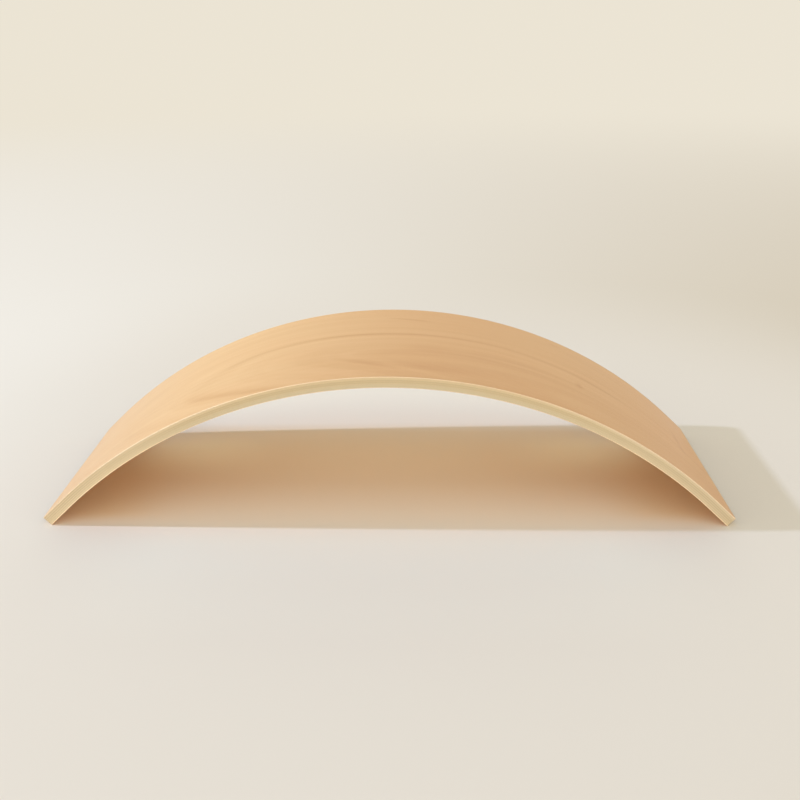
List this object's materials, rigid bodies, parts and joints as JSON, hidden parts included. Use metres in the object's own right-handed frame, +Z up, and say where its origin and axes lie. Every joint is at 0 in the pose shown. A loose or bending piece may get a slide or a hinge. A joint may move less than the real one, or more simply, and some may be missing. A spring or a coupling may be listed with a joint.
{
  "type": "rocker board",
  "caption": "Laminated bentwood balance board for a child: a wide strip of glued plies bent to a circular arc, standing as an arch on its two ends.",
  "frame": {"origin": "on the floor, under the middle of the board as it stands on its two ends", "axes": "+X along the board, +Y across it towards the far edge, +Z up through the crown of the arch"},
  "size_m": [0.8508, 0.305, 0.193],
  "materials": {
    "face_veneer": "beech face veneer, sanded smooth under a clear matt lacquer",
    "long_grain_ply": "pale birch ply, grain along the board, sanded edge under clear matt lacquer",
    "cross_grain_ply": "pale birch ply, grain across the board, sanded edge under clear matt lacquer"
  },
  "bodies": {
    "root": {"outer_face_veneer": "face_veneer", "cross_ply_1": "cross_grain_ply", "long_ply_1": "long_grain_ply", "cross_ply_2": "cross_grain_ply", "long_ply_2": "long_grain_ply", "cross_ply_3": "cross_grain_ply", "long_ply_3": "long_grain_ply", "cross_ply_4": "cross_grain_ply", "long_ply_4": "long_grain_ply", "cross_ply_5": "cross_grain_ply", "inner_face_veneer": "face_veneer"}
  },
  "joints": []
}
